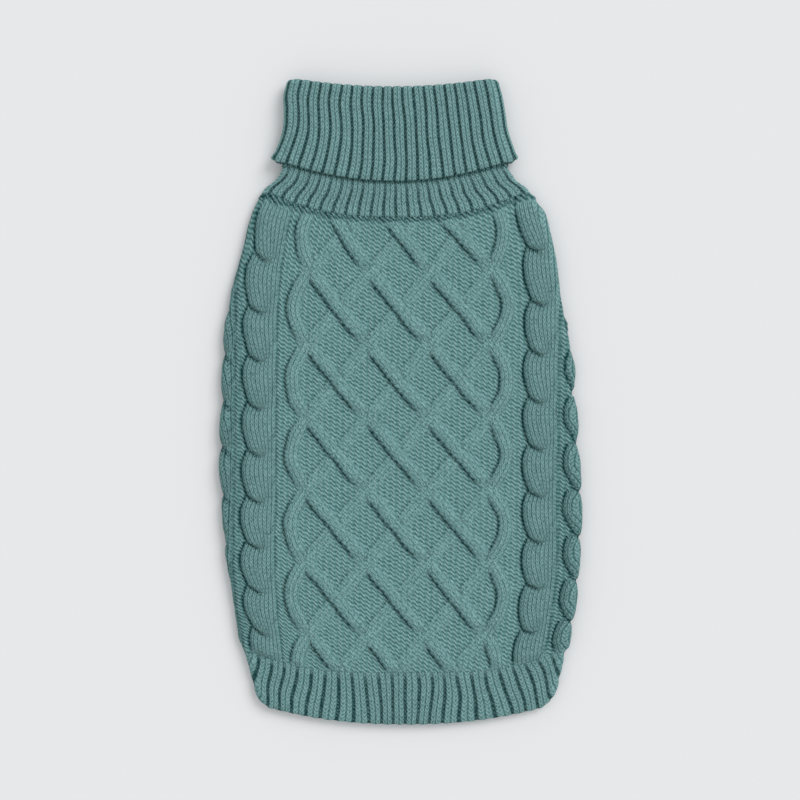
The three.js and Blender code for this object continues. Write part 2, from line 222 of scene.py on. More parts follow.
def wrapped(value, period):
    """The value's distance from the nearest whole multiple of the period, with its sign."""
    return value - period * np.round(value / period)


def waves(x, y, seed, count, shortest, longest):
    """Soft unevenness, mostly from -1 to 1: sine waves in random directions, from a fixed seed."""
    rng = np.random.default_rng(seed)
    total = np.zeros(np.broadcast(x, y).shape)
    for _ in range(count):
        angle = rng.uniform(0, 2 * math.pi)
        length = rng.uniform(shortest, longest)
        phase = rng.uniform(0, 2 * math.pi)
        k = 2 * math.pi / length
        total = total + np.sin(k * (x * math.cos(angle) + y * math.sin(angle)) + phase)
    return total / count**0.5 / 1.4


def bowed(section, x):
    """A knit row's y at x from its middle: it rises as a power of x and levels out by the turns."""
    reach = np.abs(x) / (section["half"] - section["radius"])
    near = np.maximum(0, 1 - (1 - reach) / LEVELLING)
    eased = (reach - LEVELLING / 2 * near * near) / (1 - LEVELLING / 2)
    return section["y"] + section["rise"] * np.maximum(eased, 0) ** section["bow"]


def flattened(section, along):
    """A flattened tube's middle surface: flat runs joined by half circles at the sides.

    along is the distance round it from the middle of the top. Returns the point and the normal.
    """
    radius = section["radius"]
    run = section["half"] - radius
    side = np.where(along < 0, -1.0, 1.0)
    reach = np.abs(along)
    turn = np.clip((reach - run) / radius, 0, math.pi)
    beneath = np.maximum(reach - run - math.pi * radius, 0)
    flat = side * (np.minimum(reach, run) - beneath)
    x = section["centre"] + flat + side * radius * np.sin(turn)
    z = section["height"] + radius * np.cos(turn)
    point = np.stack([x, bowed(section, flat), z], -1)
    normal = np.stack([side * np.sin(turn), 0 * turn, np.cos(turn)], -1)
    return point, normal


def round_length(section):
    """The length once round a flattened tube: four flat half runs and two half circles."""
    return 4 * (section["half"] - section["radius"]) + 2 * math.pi * section["radius"]


def body_section(row):
    """The body's flattened tube at knit rows given by their y at the middle of the back."""
    rise = read(ROWS, "rise", row)
    side = row + rise
    radius = (GROUND + read(ROWS, "air", row)) / 2
    edge = GROUND / 2 + read(ROWS, "side", row)
    return {
        "y": row,
        "rise": rise,
        "bow": read(ROWS, "bow", row),
        "radius": radius,
        "half": read(OUTLINE, "half", side) - edge,
        "centre": read(OUTLINE, "centre", side),
        "pattern": read(OUTLINE, "pattern", side),
        "stretch": read(OUTLINE, "stretch", side),
        "height": GROUND / 2 + radius,
    }


def back_along(section, u):
    """The distance round the tube of a column of the back, drawn in and shifted as its row is."""
    return u * section["stretch"] + section["pattern"] - section["centre"]


def new_relief(u, row):
    """An empty knit: no height, purl stitches all over, no grooves.

    h is the height and deep the painted shade: the shade of grooves and other shaded places,
    painted into the colour. a and b are the place across and along a strand, in stitches, and kind
    is 0 for purl and 1 for knit.
    """
    zero = np.zeros(np.broadcast(u, row).shape)
    relief = {key: zero.copy() for key in ("h", "painted_shade", "a", "kind")}
    relief["b"] = zero + row / COURSE
    return relief


def lay_strand(relief, distance, half, height, groove, where, slope, crisp):
    """Lays a strand of knit stitches over what is there.

    Its back is steep on the left of its middle and falls off over slope half widths on the right.
    A narrow groove runs along its left edge, the side away from the light, cut in and painted dark
    with painted shade. where is 1 on the strand's stretch, 0 past its ends, and crisp is how
    clearly its stitches show.
    """
    left = np.clip(1 - np.abs(distance / half) ** 3, 0, 1) ** 0.55
    right = 1 - smooth(distance, 0.1 * half, slope * half) ** 1.3
    back = np.where(distance < 0, left, right)
    # The trench is cut in and painted with painted shade, and the painted shade of what lies under
    # the strand's back is cleared.
    trench = np.exp(-((distance + half + 0.35) ** 2)) * groove * where
    relief["h"] = relief["h"] - STRAND_GROOVE * trench
    uncovered = relief["painted_shade"] * (1 - smooth(back, 0, 0.4) * where)
    relief["painted_shade"] = np.maximum(uncovered, STRAND_SHADE * trench)
    top = height * back * where
    across = (distance > -half) & (distance < slope * half)
    over = across & (top > relief["h"]) & (where > 0.02)
    relief["h"] = np.where(over, top, relief["h"])
    relief["a"] = np.where(over, (distance / half + 1) * STRAND_WALES / 2, relief["a"])
    from_left = np.clip((half + distance) / 0.8, 0, 1)
    inside = from_left * (1 - smooth(distance, 0.75 * half, half * 1.05))
    relief["kind"] = np.where(over, crisp * inside * smooth(where, 0.1, 0.5), relief["kind"])


def lay_lattice(relief, u, row):
    """The trellis: falling and rising strands that weave, and arcs where they turn back.

    The falling strands stand up from the ground and dip where the flatter rising ones cross them.
    The arcs are half sine waves, and all of it wanders by half a millimetre, as real knit does.
    """
    gx = u / ACROSS
    gy = (row - LATTICE_ROW) / DOWN
    sine = DOWN / math.hypot(ACROSS, DOWN)
    stray = WANDER * waves(u, row, seed=5, count=7, shortest=18, longest=60)
    wander = stray + RIPPLE * np.sin(2 * math.pi * (row / RIPPLE_DOWN + u / RIPPLE_ACROSS))
    falling = wrapped(gx + gy - 1, 2) * ACROSS * sine + wander
    rising = wrapped(gx - gy - 1, 2) * ACROSS * sine - wander

    arc = math.pi / 2 * (gy - 2 * np.floor(gy / 2))
    turn = np.sin(arc)
    lean = BULGE * math.pi / 2 * np.cos(arc) * ACROSS / DOWN
    height = (STRAND_HEIGHT - 0.4) * (0.45 + 0.55 * smooth(turn, 0, 0.6))
    for side in (-1, 1):
        middle = side * (LATTICE_EDGE + BULGE * turn)
        distance = (gx - middle) * ACROSS / np.sqrt(1 + lean**2) + wander
        beyond = smooth(side * gx, LATTICE_EDGE - 0.28, LATTICE_EDGE - 0.1)
        groove = turn**0.6
        lay_strand(relief, distance, STRAND_HALF, height, groove, beyond, slope=1.2, crisp=0.8)

    cross = np.cos(math.pi * gy)
    under = smooth(cross, 0.55, 1)
    falls_over = cross < 0
    within = 1 - smooth(np.abs(gx), LATTICE_EDGE - 0.03, LATTICE_EDGE + 0.2)
    # The grooves, cut in and painted with painted shade, are strong on the falling strands and
    # faint on the rising ones, which the light runs along.
    for upper in (False, True):
        falls = falls_over == upper
        distance = np.where(falls, falling, rising)
        height = np.where(falls, STRAND_HEIGHT - CROSSING_DIP * under, RISING_HEIGHT * (1 + under))
        groove = np.where(falls, 1 - 0.85 * under, 0.3 * (1 - under))
        half = np.where(falls, STRAND_HALF - 0.3, STRAND_HALF + 0.4)
        crisp = np.where(falls, 0.6, 0.45)
        lay_strand(relief, distance, half, height, groove, within, slope=1.25, crisp=crisp)


def lobe_edge(s, slant):
    """The left edge of a rope's lobe, from -1 to 1 across the rope, s periods below its top.

    It bulges out to the left, runs down, and from 0.45 on sweeps in to the right as a square,
    most steeply at its end. With slant it runs in as a straight line instead.
    """
    bulge = 0.29 * (1 - smooth(s, -0.1, 0.32))
    sweep = np.maximum(s - 0.45, 0) ** 2 + 16 * np.maximum(s - 0.945, 0) ** 2
    sweep = (1 - slant) * sweep + slant * 2.2 * np.maximum(s - 0.5, 0)
    return -1 + bulge + np.minimum(sweep, 2)


def lay_rope(relief, u, row, middle, notch, height, slant):
    """A rope cable of eight stitches: plump lobes down its left side, each tucked under the last.

    Each lobe's left edge has a dark line of painted shade, cut in a little, and its stitches follow
    that edge. On the right side the lobes merge into one smooth strand, whose edge hooks in a
    little once a lobe along a groove that is cut in and painted with painted shade. With slant the
    lobe's left edge and its line run on across the whole rope. The whole rope is painted a little
    darker too, as painted shade of its rounding.
    """
    stray = ROPE_WANDER * waves(u, row, seed=7, count=6, shortest=20, longest=60)
    across = (u - middle + stray) / ROPE_HALF
    down = (notch - row) / ROPE_PERIOD
    right = (1 - smooth(across, -0.1, 1.08)) ** 0.65
    waist = (0.5 + 0.5 * np.cos(2 * math.pi * (down - 0.1))) ** 2
    right = right * (1 - (0.2 + 0.25 * slant) * smooth(across, 0, 0.5) * waist)
    merge = smooth(across, -0.45 + 0.6 * slant, 0.3 + 0.6 * slant)
    fade = 1 - smooth(across, -0.35 + 0.8 * slant, 0.25 + 0.8 * slant)
    best, wales, shade = np.zeros((3, *relief["h"].shape))
    for lobe in (0, -1):
        s = down - np.floor(down) - lobe
        left = lobe_edge(s, slant)
        inward = (across - left) * ROPE_HALF
        short_of_full = np.clip(1 - inward / LOBE_ROUNDING, 0, 1)
        round_left = np.clip(1 - short_of_full**2.4, 0, 1) ** 0.62
        tuck = (1 - smooth(s, -0.05, 0.4)) * (1 - merge)
        top = height * round_left * right * (1 - TUCK * tuck) * (inward > 0)
        line_width = LOBE_LINE + 0.5 * smooth(s, 0.9, 1.1)
        line = np.exp(-(((inward + 0.2) / line_width) ** 2)) * fade
        over = top > best
        shade = np.where(over, 0.8 * line, np.maximum(shade, line))
        follow = (left + 1) * (1 - smooth(across, -0.2, 0.9))
        wales = np.where(over, ROPE_WALES / 2 * (across + 1 - follow), wales)
        best = np.maximum(best, top)
    hook = 0.45 * (down + 0.2 - np.floor(down + 0.2)) ** 6
    past_right = (across - 1 + hook) * ROPE_HALF - 0.6
    outside = (0.35 + 0.1 * slant) * np.exp(-((past_right / 1.3) ** 2))
    # Painted shade: over the rope an even darkening plus the lines and the right-hand groove,
    # beside it the lines and the groove.
    over = best > np.maximum(relief["h"], 0.05)
    relief["h"] = np.where(over, best, relief["h"]) - 0.9 * shade - 0.6 * outside
    beside = np.maximum(relief["painted_shade"], np.maximum(1.05 * shade, outside))
    relief["painted_shade"] = np.where(over, 0.15 + 1.1 * shade + 0.7 * outside, beside)
    relief["a"] = np.where(over, wales, relief["a"])
    relief["kind"] = np.where(over, np.clip(best / 0.8, 0, 1), relief["kind"])


def back_relief(u, row):
    """The back's knit: purl ground, trellis, four ropes, and a chain of loops at the neck seam.

    The relief sinks to the ground at both ends, and the sides are painted a shade darker, as
    painted shade where the cloth rounds away.
    """
    relief = new_relief(u, row)
    relief["h"] += 0.25 * waves(u, row, seed=3, count=9, shortest=25, longest=80)
    lay_lattice(relief, u, row)
    for middle, notch, height, slant in ROPES:
        lay_rope(relief, u, row, middle, notch, height, slant)
    # Painted shade on the sides, where the cloth rounds away.
    beside = smooth(np.abs(u), 104, 130)
    relief["painted_shade"] = relief["painted_shade"] + 0.27 * beside * np.maximum(1 - relief["painted_shade"], 0)
    end = smooth(row, NECK_SEAM - 11, NECK_SEAM - 4)
    from_chain = (row - NECK_SEAM + CHAIN_BELOW) / CHAIN_HALF
    chain = np.clip(1 - from_chain**2, 0, 1) ** 0.5
    loops = 0.5 + 0.5 * np.cos(2 * math.pi * (u / WALE + 0.3 * (row - NECK_SEAM)))
    relief["h"] = relief["h"] * (1 - 0.7 * end) + CHAIN_HEIGHT * chain * loops
    relief["kind"] = relief["kind"] * (1 - smooth(row, NECK_SEAM - 5, NECK_SEAM - 3.5))
    foot = 1 - smooth(row, HEM_TOP, HEM_TOP + 5)
    relief["h"] = relief["h"] * (1 - foot) + PLAIN * foot
    # The painted shade fades at the hem and the neck, and painted shade is added between the
    # chain's loops.
    shallow = (1 - 0.8 * foot) * (1 - 0.6 * end)
    relief["painted_shade"] = relief["painted_shade"] * shallow + 0.85 * chain * (1 - loops)
    return relief


def rib_relief(place, row, share, strength):
    """A 2x2 rib: each rib is two knit stitches wide, and its purls hide in a narrow groove.

    A rib is a flat-topped crown with a slight dip between its stitches. Its groove is painted dark
    with painted shade, and the whole rib is darkened evenly a little. share fades its relief out,
    and strength evens the rib to plain cloth.
    """
    f = place - np.floor(place)
    crown = np.clip(1 - np.abs(2 * f - 1) ** 4, 0, 1) ** 0.6
    crown = crown - RIB_DIP * np.exp(-(((f - 0.5) / 0.07) ** 2))
    aside = np.minimum(f, 1 - f)
    groove = np.exp(-((aside / RIB_SHADE) ** 2)) * strength
    ribbed = RIB_GROOVE + (RIB_CROWN - RIB_GROOVE) * crown
    return {
        "h": (PLAIN + (ribbed - PLAIN) * strength) * share,
        "painted_shade": 0.07 + 0.93 * groove,
        "a": (f - RIB_MARGIN) / (1 - 2 * RIB_MARGIN) * RIB_WALES,
        "b": row / COURSE,
        "kind": smooth(aside, 0.02, RIB_MARGIN),
    }


def join_rows(points, one, other):
    """Triangles between two rows of points of different number, by the shorter diagonal."""
    faces = []
    i = j = 0
    while i < len(one) - 1 or j < len(other) - 1:
        step_one = np.inf
        step_other = np.inf
        if i < len(one) - 1:
            step_one = np.sum((points[other[j]] - points[one[i + 1]]) ** 2)
        if j < len(other) - 1:
            step_other = np.sum((points[one[i]] - points[other[j + 1]]) ** 2)
        if step_one <= step_other:
            faces.append((one[i + 1], one[i], other[j]))
            i += 1
        else:
            faces.append((other[j], other[j + 1], one[i]))
            j += 1
    return faces


def grid_quads(index):
    """The quads of a grid of point numbers, turned outwards."""
    a, b = index[:-1, :-1], index[:-1, 1:]
    c, d = index[1:, 1:], index[1:, :-1]
    return np.stack([a, b, c, d], -1).reshape(-1, 4)


def border(index, ring):
    """The point numbers along a grid's border: its first and last row, and its sides if open."""
    sides = [index[0], index[-1][::-1]]
    if not ring:
        sides += [index[:, -1], index[::-1, 0]]
    return [side.tolist() for side in sides]


def wall(name, outer, under, stitches, inner, inner_stitches, ring, material):
    """A closed wall of cloth: an outer grid, a coarser inner grid, and square edges between them.

    outer and under are the outer points and those straight below them, inner the inside's own
    points. stitches holds each point's place in the knit. In a ring the last column is the first.
    """
    grids = (outer, under, stitches, inner, inner_stitches)
    if ring:
        grids = (grid[:, :-1] for grid in grids)
    outer, under, stitches, inner, inner_stitches = grids
    rows, columns = outer.shape[:2]
    edge = np.zeros((rows, columns), bool)
    edge[[0, -1]] = True
    if not ring:
        edge[:, [0, -1]] = True
    first_inner = rows * columns + edge.sum()
    outer_index = np.arange(rows * columns).reshape(rows, columns)
    rim_index = np.full((rows, columns), -1)
    rim_index[edge] = np.arange(rows * columns, first_inner)
    inner_index = first_inner + np.arange(inner[..., 0].size).reshape(inner.shape[:2])
    indices = (outer_index, rim_index, inner_index)
    if ring:
        indices = (np.hstack([index, index[:, :1]]) for index in indices)
    outer_index, rim_index, inner_index = indices
    points = np.concatenate([outer.reshape(-1, 3), under[edge], inner.reshape(-1, 3)])
    knit = [grid.reshape(-1, grid.shape[-1]) for grid in (stitches, stitches[edge], inner_stitches)]
    faces = grid_quads(outer_index).tolist() + grid_quads(inner_index)[:, ::-1].tolist()
    borders = (border(index, ring) for index in (outer_index, rim_index, inner_index))
    for outer_row, rim_row, inner_row in zip(*borders):
        faces += join_rows(points, outer_row, rim_row)
        faces += join_rows(points, rim_row, inner_row)
    return mesh_piece(name, points, faces, np.concatenate(knit), material)


def mesh_piece(name, points, faces, knit, material):
    """A smooth mesh at the origin, in metres, with its knit's coordinates as point attributes."""
    mesh = bpy.data.meshes.new(name)
    placed = (points + np.array([*TO_MIDDLE, 0])) / MM_PER_M
    mesh.from_pydata(placed.tolist(), [], faces)
    mesh.shade_smooth()
    for key, columns in (("strand", (0, 1, 2)), ("ground", (3, 1, 4))):
        data = mesh.attributes.new(key, "FLOAT_VECTOR", "POINT")
        data.data.foreach_set("vector", np.ascontiguousarray(knit[:, columns], np.float32).ravel())
    mesh.materials.append(material)
    obj = bpy.data.objects.new(name, mesh)
    bpy.context.scene.collection.objects.link(obj)
    return obj


def stitch_table(relief, ground):
    """Each point's stitch coordinates: strand wale, course, knit or purl, ground wale, painted
    shade.
    """
    columns = (relief["a"], relief["b"], relief["kind"], ground, relief["painted_shade"])
    return np.stack(np.broadcast_arrays(*columns), -1)


def plain_table(shape, wales, rows):
    """The same for plain knit cloth without painted shade, with both counts given in stitches."""
    zero = np.zeros(shape)
    return np.stack([zero + wales, zero + rows, zero + 1, zero + wales, zero], -1)


def relief_share(normal):
    """Relief is full on top and at the sides and fades out before the cloth turns under."""
    return smooth(normal[..., 2], -0.75, 0.05)


def above_floor(points):
    """The points, with those below the floor raised to it."""
    points[..., 2] = np.maximum(points[..., 2], 0)
    return points


def make_back(material):
    """The cabled back: fine columns on top, coarser ones round the sides and underneath."""
    fine = np.arange(0.45, FINE_UNTIL, FINE_STEP)
    coarse = np.arange(FINE_UNTIL + 0.6, BACK_HALF - 0.5, COARSE_STEP)
    half = np.concatenate([fine, coarse, [BACK_HALF]])
    u = np.concatenate([-half[::-1], half])[None, :]
    row = np.linspace(HEM_TOP - 0.05, NECK_SEAM + 0.35, BACK_ROWS)[:, None]
    relief = back_relief(u, row)
    section = body_section(row)
    point, normal = flattened(section, back_along(section, u))
    lift = GROUND / 2 + relief["h"] * relief_share(normal)
    outer = above_floor(point + normal * lift[..., None])
    under = point - normal * GROUND / 2
    columns = u.shape[1]
    pick = np.concatenate([[3], np.arange(14, columns - 14, 9), [columns - 4]])
    rows = np.concatenate([[3], np.arange(12, BACK_ROWS - 10, 12), [BACK_ROWS - 4]])
    inner = under[np.ix_(rows, pick)]
    stitches = stitch_table(relief, u / WALE + 0 * row)
    inside = plain_table(inner.shape[:2], u[:, pick] / WALE, row[rows] / COURSE)
    return wall("knitted_back", outer, under, stitches, inner, inside, False, material)


def make_belly(material):
    """The plain belly between the seams, its long edges rounded.

    A leg opening is scooped out of each side as a half cosine wave, LEG_LENGTH by LEG_DEPTH.
    """
    row = np.linspace(HEM_TOP + SEAM_GAP, NECK_SEAM, 160)[:, None]
    section = body_section(row)
    from_leg = np.clip(2 * (row - LEG_ROW) / LEG_LENGTH, -1, 1)
    scoop = LEG_DEPTH * np.cos(math.pi / 2 * from_leg)
    edges = []
    for side in (1, -1):
        seam, _ = flattened(section, back_along(section, side * BACK_HALF))
        edges.append(seam[..., 0] - side * (SEAM_GAP + scoop))
    share = np.linspace(0, 1, 90)[None, :]
    x = edges[0] + (edges[1] - edges[0]) * share
    y = bowed(section, x - section["centre"])
    from_edge = np.minimum(share, 1 - share) * np.abs(edges[0] - edges[1])
    outer = np.stack([x, y, 0.8 * (1 - smooth(from_edge, 0, 2.2))], -1)
    under = np.stack([x, y, 0 * x + GROUND], -1)
    rows = np.concatenate([[2], np.arange(8, 152, 8), [157]])
    pick = np.concatenate([[2], np.arange(10, 80, 10), [87]])
    coarse = np.ix_(rows, pick)
    stitches = plain_table(x.shape, x / WALE, y / COURSE)
    inner, inside = under[coarse], stitches[coarse]
    return wall("knitted_belly", outer, under, stitches, inner, inside, False, material)


def rib_places(ribs, coarse_from):
    """Places round a ribbed tube, in ribs from the middle of the top, coarser underneath."""
    fine, coarse = PLACES_PER_RIB
    top = (np.arange(int(coarse_from * fine)) + 0.5) / fine
    below = np.linspace(coarse_from, ribs / 2, int((ribs / 2 - coarse_from) * coarse) + 1)
    half = np.concatenate([top, below])
    return np.concatenate([-half[::-1], half])


def make_hem(material):
    """The hem: a 2x2 rib tube below the back and the belly, cast off with a rounded edge.

    Its ribs fan outwards towards both corners, and the corners turn up.
    """
    place = rib_places(HEM_RIBS, coarse_from=13.3)[None, :]
    rounding = HEM_EDGE + np.array([0, 0.35, 0.9, 1.7])
    row = np.concatenate([rounding, np.linspace(HEM_EDGE + 2.7, HEM_TOP, 34)])[:, None]
    section = body_section(row)
    point, normal = flattened(section, place / HEM_RIBS * round_length(section))
    aside = np.abs(place)
    fan = np.where(place > 0, HEM_FAN[1], HEM_FAN[0])
    fanned = smooth(aside, 2, 10) * (1 - smooth(aside, 14, 21)) * fan
    stray = waves(place * RIB_WIDTH, row, seed=21, count=8, shortest=16, longest=60)
    drift = 0.07 * stray - fanned * (HEM_TOP - row) / (HEM_TOP - HEM_EDGE)
    strength = 1 - smooth(row, HEM_TOP - 6, HEM_TOP)
    share = relief_share(normal)
    relief = rib_relief(place + drift, row, share, strength)
    # The hem's painted groove shade is weakened, and the whole hem is darkened evenly a little.
    relief["painted_shade"] = 0.11 + 0.74 * relief["painted_shade"]
    to_side = np.abs(point[..., 0] - section["centre"]) / section["half"]
    corner = smooth(to_side, 0.93, 1.0) ** 2 * (1 - smooth(row, HEM_EDGE, HEM_EDGE + 12))
    point[..., 1] += HEM_CORNER * corner
    height, depth = HEM_ROUNDING
    cast_off = (1 - smooth(row, HEM_EDGE, HEM_EDGE + height)) ** 2
    lift = GROUND / 2 + relief["h"] - depth * cast_off * share
    outer = above_floor(point + normal * lift[..., None])
    outer[..., 1] += 0.25 * cast_off * np.cos(2 * math.pi * place)
    under = point - normal * GROUND / 2
    rows = [4, 14, 24, 33]
    stitches = stitch_table(relief, place * RIB_WALES)
    return wall("ribbed_hem", outer, under, stitches, under[rows], stitches[rows], True, material)


def collar_path():
    """The collar's wall from the neck seam up, over the fold and down outside, station by station.

    Each station has its section, turn, which is how far the wall has turned over in radians, rib,
    which is how strong its ribs are, and length, which is its distance along the wall. The fold is
    a half circle of FOLD_STEP across.
    """
    low = body_section(np.array(NECK_SEAM))
    up = np.concatenate([np.linspace(STAND["y"][0], 166, 30), np.linspace(170, FOLD_Y, 12)])
    stand = {key: read(STAND, key, up) for key in STAND}
    lift = stand["lift"]
    stand["radius"] = low["radius"] + (STAND_RADIUS - low["radius"]) * lift
    stand["height"] = low["height"] + (STAND_BOTTOM + STAND_RADIUS - low["height"]) * lift
    stand["half"] = stand["half"] - GROUND / 2 - np.where(lift < 1, RIB_CROWN, 0)
    stand["turn"] = 0 * up
    top = {key: value[-1] for key, value in stand.items()}

    turn = np.linspace(0, math.pi, 11)[1:-1]
    out = FOLD_STEP / 2 * (1 - np.cos(turn))
    fold = {key: value + 0 * turn for key, value in top.items()}
    fold["y"] = top["y"] + FOLD_STEP / 2 * np.sin(turn)
    fold["half"] = top["half"] + out
    fold["radius"] = top["radius"] + out
    fold["turn"] = turn
    fold["rib"] = smooth(turn, 0.3, 2.0)

    edge = COLLAR_EDGE + np.array([1.8, 0.9, 0.3, 0])
    down = np.concatenate([np.linspace(FOLD_Y, COLLAR_EDGE + 2.9, 58), edge])
    folded = {key: value + 0 * down for key, value in top.items()}
    for key in FOLDED:
        folded[key] = read(FOLDED, key, down)
    folded["half"] = folded["half"] - FOLDED["half"][-1] + top["half"] + FOLD_STEP
    folded["radius"] = top["radius"] + FOLD_STEP + 0 * down
    folded["turn"] = math.pi + 0 * down
    folded["rib"] = 1 + 0 * down

    path = {key: np.concatenate([stand[key], fold[key], folded[key]])[:, None] for key in stand}
    turned = np.abs(np.diff(path["turn"][:, 0])) * FOLD_STEP / 2
    step = np.abs(np.diff(path["y"][:, 0])) + turned
    path["length"] = np.concatenate([[0], np.cumsum(step)])[:, None]
    return path


def make_collar(material):
    """The collar: both faces of its wall share one grid, and each has its ribs where it is seen.

    The folded part's lower edge is rounded, and its corners turn up.
    """
    place = rib_places(COLLAR_RIBS, coarse_from=11.8)[None, :]
    path = collar_path()
    standing = path["turn"] == 0
    point, normal = flattened(path, place / COLLAR_RIBS * round_length(path))
    way = normal * np.cos(path["turn"])[..., None]
    way[..., 1] -= np.sin(path["turn"])
    to_edge = path["length"][-1] - path["length"]
    to_side = np.abs(point[..., 0] - path["centre"]) / path["half"]
    corner = smooth(to_side, 0.95, 1.0) ** 2 * (1 - smooth(to_edge, 0, 10))
    point[..., 1] += COLLAR_CORNER * corner
    along = path["length"]
    stray = waves(place * RIB_WIDTH, along, seed=31, count=8, shortest=18, longest=80)
    relief = rib_relief(place + 0.06 * stray, along, relief_share(normal), path["rib"])
    height, depth = COLLAR_ROUNDING
    rounding = (1 - np.clip(to_edge / height, 0, 1)) ** 2
    lift_up = GROUND / 2 + np.where(standing, relief["h"], 0)
    lift_out = GROUND / 2 + np.where(standing, 0, relief["h"] - depth * rounding)
    outer = above_floor(point + way * lift_up[..., None])
    under = above_floor(point - way * lift_out[..., None])
    # Painted shade: weaker in the stand's grooves, and a painted shadow on the stand just below the
    # folded part's edge.
    shaded = relief["painted_shade"] * np.where(standing, 0.8, 1)
    relief["painted_shade"] = np.maximum(shaded, 0.75 * smooth(path["y"], 156.5, 160.5) * standing)
    stitches = stitch_table(relief, place * RIB_WALES)
    inner, inside = under[1:-1], stitches[1:-1]
    return wall("ribbed_collar", outer, under, stitches, inner, inside, True, material)


def linear(hex_colour):
    """An sRGB hex colour as linear RGBA."""
    channels = [int(hex_colour[i : i + 2], 16) / 255 for i in (1, 3, 5)]
    return [c / 12.92 if c <= 0.04045 else ((c + 0.055) / 1.055) ** 2.4 for c in channels] + [1.0]


def add(tree, kind, inputs=None, **settings):
    """Adds a node with its settings and links. An input is a value, a node or (node, output)."""
    made = tree.nodes.new(kind)
    for key, value in settings.items():
        setattr(made, key, value)
    for key, value in (inputs or {}).items():
        if isinstance(value, bpy.types.Node):
            value = (value, 0)
        if isinstance(value, tuple) and isinstance(value[0], bpy.types.Node):
            tree.links.new(value[0].outputs[value[1]], made.inputs[key])
        else:
            made.inputs[key].default_value = value
    return made


